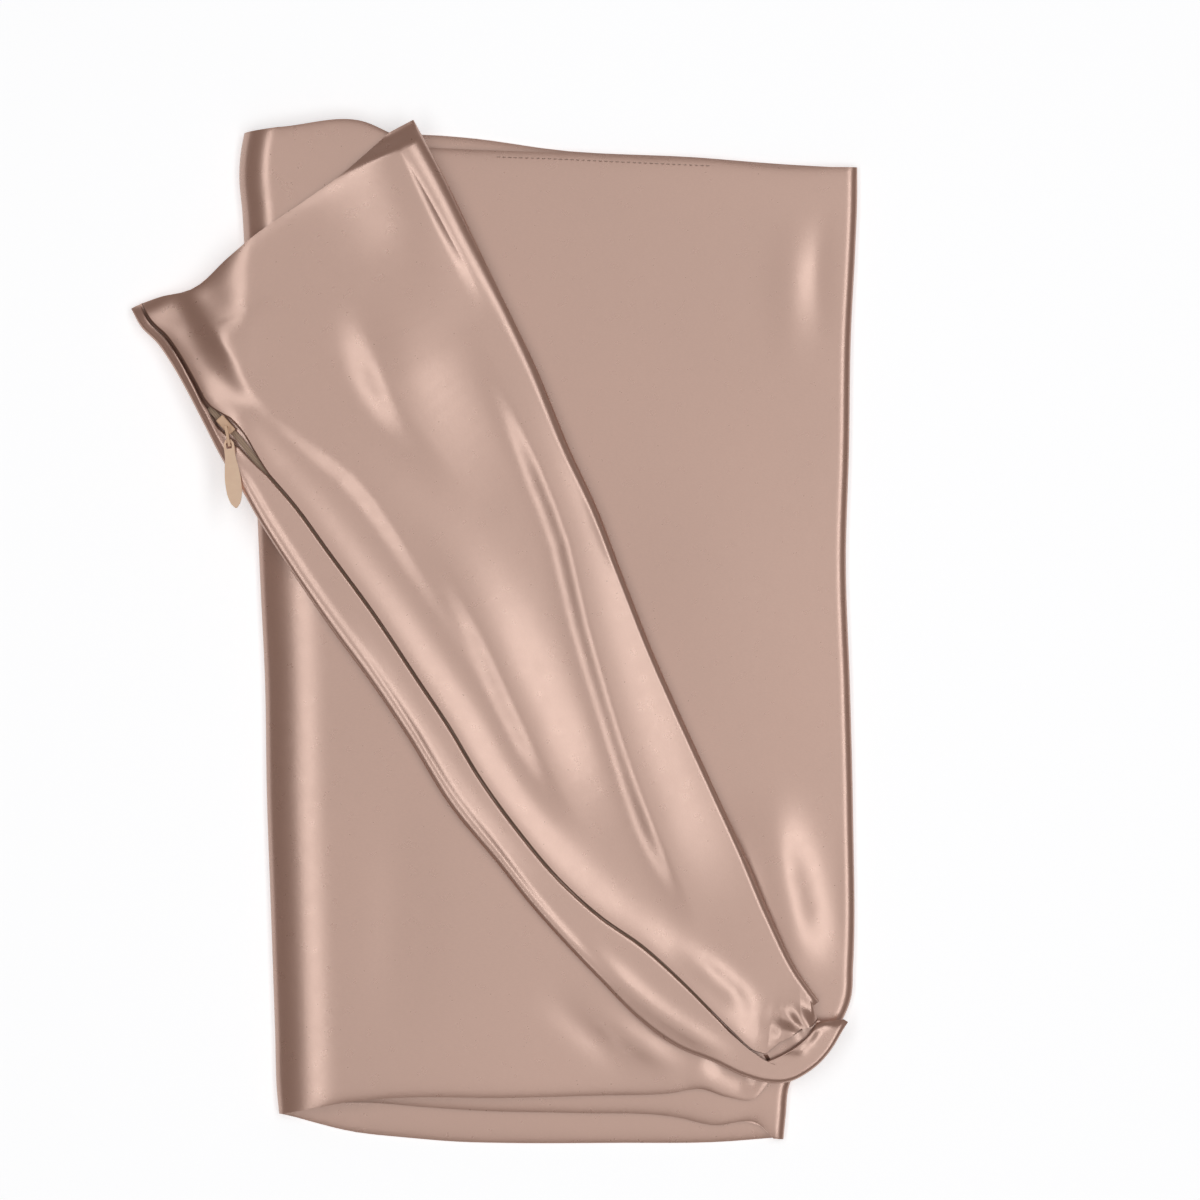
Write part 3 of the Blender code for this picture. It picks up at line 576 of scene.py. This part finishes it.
def woven_tape(name, base):
    """The zip's narrow woven tape."""
    made, tree, shader, add = nodes_of(name)
    place = add("ShaderNodeTexCoord").outputs["Object"]
    rib = add("ShaderNodeTexWave", {"Vector": place, "Scale": 420.0, "Distortion": 1.5},
              wave_type="BANDS", bands_direction="DIAGONAL")
    tone = add("ShaderNodeMix", {"Factor": rib.outputs["Fac"]}, data_type="RGBA")
    tone.inputs["A"].default_value = (*[c * 0.75 for c in base], 1)
    tone.inputs["B"].default_value = (*base, 1)
    tree.links.new(tone.outputs["Result"], shader.inputs["Base Color"])
    bump = add("ShaderNodeBump", {"Height": rib.outputs["Fac"], "Strength": 0.5,
                                  "Distance": 0.0003})
    tree.links.new(bump.outputs["Normal"], shader.inputs["Normal"])
    shader.inputs["Roughness"].default_value = 0.8
    return made


def enamel(name, base, roughness):
    """Painted metal of the slider and the pull, a little worn and uneven."""
    made, tree, shader, add = nodes_of(name)
    place = add("ShaderNodeTexCoord").outputs["Object"]
    spots = add("ShaderNodeTexNoise", {"Vector": place, "Scale": 350.0, "Detail": 4.0})
    tone = add("ShaderNodeMix", {"Factor": spots.outputs["Fac"]}, data_type="RGBA")
    tone.inputs["A"].default_value = (*[c * 0.9 for c in base], 1)
    tone.inputs["B"].default_value = (*[min(c * 1.08, 1) for c in base], 1)
    tree.links.new(tone.outputs["Result"], shader.inputs["Base Color"])
    rough = add("ShaderNodeMapRange", {"Value": spots.outputs["Fac"], "To Min": roughness - 0.05,
                                       "To Max": roughness + 0.1})
    tree.links.new(rough.outputs["Result"], shader.inputs["Roughness"])
    bump = add("ShaderNodeBump", {"Height": spots.outputs["Fac"], "Strength": 0.15,
                                  "Distance": 0.0002})
    tree.links.new(bump.outputs["Normal"], shader.inputs["Normal"])
    return made


SATIN = (0.50, 0.264, 0.192)
TAPE = (0.46, 0.33, 0.26)
COIL = (0.50, 0.35, 0.25)
SLIDER = (0.84, 0.54, 0.35)
PULL = (1.0, 0.66, 0.46)
THREAD = (0.62, 0.44, 0.36)
satin_mat = satin("satin", SATIN)
satin_back_mat = satin("satin_back", SATIN)
tape_mat = woven_tape("zip_tape", TAPE)
coil_mat = woven_tape("zip_coil", COIL)
slider_mat = enamel("slider_paint", SLIDER, 0.35)
pull_mat = enamel("pull_paint", PULL, 0.38)

# ---------------------------------------------------------------- pieces
front = sheet_object("front_satin", front_sheet(), satin_mat)
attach(front, "root")
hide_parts("front_panel")
back = sheet_object("back_satin", back_sheet(), satin_back_mat)
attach(back, "root")
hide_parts("back_panel")

stitches = stitch_row("seam_stitches", SEAM_STITCHES, CLOSED_Z + HALF_PLY + STITCH_LIFT,
                      woven_tape("thread", THREAD))
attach(stitches, "root")

for node, mat in {
    "zip_tape_front": tape_mat,
    "zip_tape_back": tape_mat,
    "zip_coil": coil_mat,
    "zip_slider": slider_mat,
    "zip_pull": pull_mat,
}.items():
    for slot in bpy.data.objects[node].material_slots:
        slot.material = mat

# ---------------------------------------------------------------- floor, light and camera
floor_mesh = bpy.data.meshes.new("floor")
floor_mesh.from_pydata([(-6, -6, 0), (6, -6, 0), (6, 6, 0), (-6, 6, 0)], [], [(0, 1, 2, 3)])
floor = bpy.data.objects.new("floor", floor_mesh)
bpy.context.scene.collection.objects.link(floor)
floor_mat, _, floor_shader, _ = nodes_of("paper")
floor_shader.inputs["Base Color"].default_value = (0.94, 0.94, 0.95, 1)
floor_shader.inputs["Roughness"].default_value = 0.9
floor_shader.inputs["Emission Color"].default_value = (1, 1, 1, 1)
floor_shader.inputs["Emission Strength"].default_value = 0.42
floor_mesh.materials.append(floor_mat)


def softbox(name, place, size, power, target=(0.03, 0.0, 0.0)):
    """A soft light, size[0] long in y and size[1] across, that points at the target."""
    data = bpy.data.lights.new(name, "AREA")
    data.shape = "RECTANGLE"
    data.size = size[0]
    data.size_y = size[1]
    data.energy = power
    obj = bpy.data.objects.new(name, data)
    obj.location = place
    obj.rotation_euler = (Vector(target) - Vector(place)).to_track_quat("-Z", "Y").to_euler()
    bpy.context.scene.collection.objects.link(obj)


softbox("left_strip", (-1.04, 0.0, 2.6), (3.0, 0.64), 17.0)
softbox("right_strip", (1.12, 0.0, 2.6), (3.0, 0.68), 18.0)
softbox("top_box", (0.26, 0.0, 3.0), (3.0, 1.6), 13.0)

world = bpy.data.worlds.new("studio")
bpy.context.scene.world = world
world.use_nodes = True
background = world.node_tree.nodes["Background"]
background.inputs["Color"].default_value = (1, 1, 1, 1)
background.inputs["Strength"].default_value = 0.14

DISTANCE = 2.4          # of the camera above the cloth, in metres
VIEW_WIDTH = 0.5832     # seen across the picture at the cloth
SENSOR_WIDTH = 36.0
camera_data = bpy.data.cameras.new("camera")
camera_data.sensor_width = SENSOR_WIDTH
camera_data.lens = SENSOR_WIDTH * DISTANCE / VIEW_WIDTH
camera_data.clip_end = 20.0
camera = bpy.data.objects.new("camera", camera_data)
camera.location = (0.0515, 0.0160, 0.012 + DISTANCE)
bpy.context.scene.collection.objects.link(camera)
bpy.context.scene.camera = camera
bpy.context.scene.view_settings.view_transform = "Standard"
